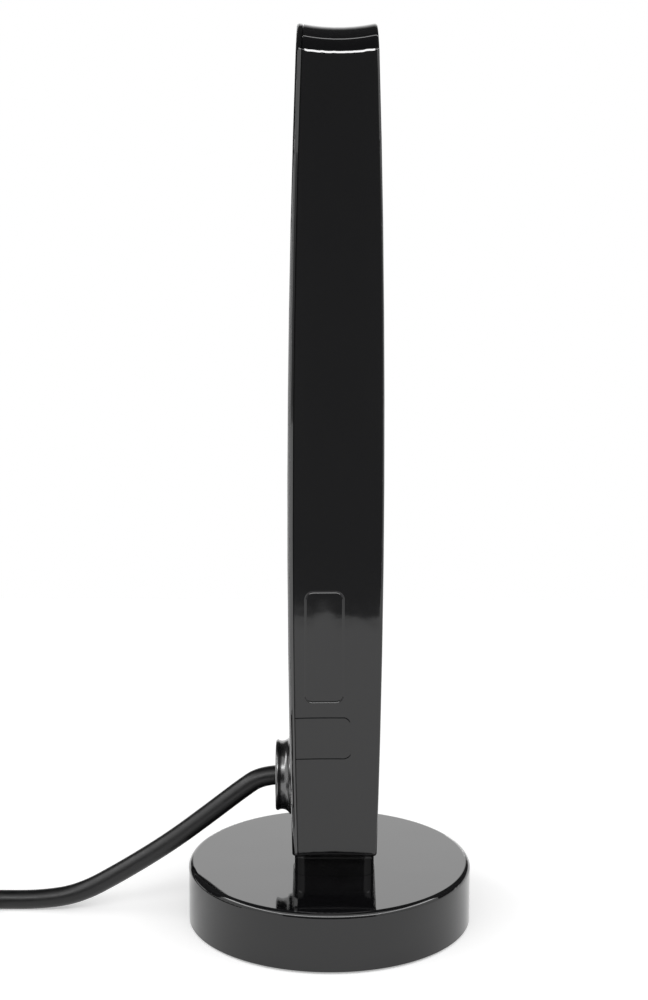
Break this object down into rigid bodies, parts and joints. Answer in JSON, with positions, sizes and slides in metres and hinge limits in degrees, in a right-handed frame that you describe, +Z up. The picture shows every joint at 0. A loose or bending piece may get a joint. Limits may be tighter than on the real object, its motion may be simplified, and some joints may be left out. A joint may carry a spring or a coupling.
{
  "type": "fm indoor antenna",
  "caption": "Slim glossy black tower on a round weighted base: an indoor FM antenna for a radio or receiver, with a coaxial lead that leaves its rear through a round boss and ends in a plug.",
  "frame": {"origin": "middle of the round base, on the surface that the antenna stands on", "axes": "+Z up along the tower, +X towards the front, so that the lead leaves the rear towards -X, and +Y to the left of someone who looks along +X"},
  "size_m": [0.2534, 0.1207, 0.2815],
  "materials": {
    "gloss_black": "polished moulding",
    "boss_black": "polished moulding",
    "neck_black": "satin moulding",
    "plate_black": "fine spark texture",
    "pad_rubber": "matt",
    "weight_steel": "zinc plated",
    "zinc_steel": "zinc plated",
    "board_laminate": "solder mask",
    "strip_copper": "tinned copper strip",
    "core_ferrite": "sintered",
    "wire_enamel": "enamelled copper wire",
    "capacitor_body": "dipped resin",
    "lead_jacket": "matt extruded jacket",
    "tie_black": "matt",
    "plug_black": "matt moulding",
    "plug_nickel": "nickel plated",
    "plug_white": "smooth"
  },
  "bodies": {
    "root": {"base_shell": "gloss_black", "base_weight": "weight_steel", "base_plate": "plate_black", "base_screws": "zinc_steel", "foot_pads": "pad_rubber", "neck": "neck_black", "neck_screws": "zinc_steel", "tower_housing": "gloss_black", "rear_cover": "gloss_black", "cable_boss": "boss_black", "cable_clamp": "plate_black", "clamp_screws": "zinc_steel", "cable_tail": "lead_jacket", "antenna_board": "board_laminate", "board_screws": "zinc_steel", "radiator": "strip_copper", "ground_strip": "strip_copper", "matching_core": "core_ferrite", "matching_winding": "wire_enamel", "matching_capacitor": "capacitor_body", "cable": "lead_jacket", "cable_coil": "lead_jacket", "cable_end": "lead_jacket", "coil_tie": "tie_black", "plug_grip": "plug_black", "plug_sleeve": "plug_nickel", "plug_insulator": "plug_white", "plug_pin": "plug_nickel"}
  },
  "joints": []
}
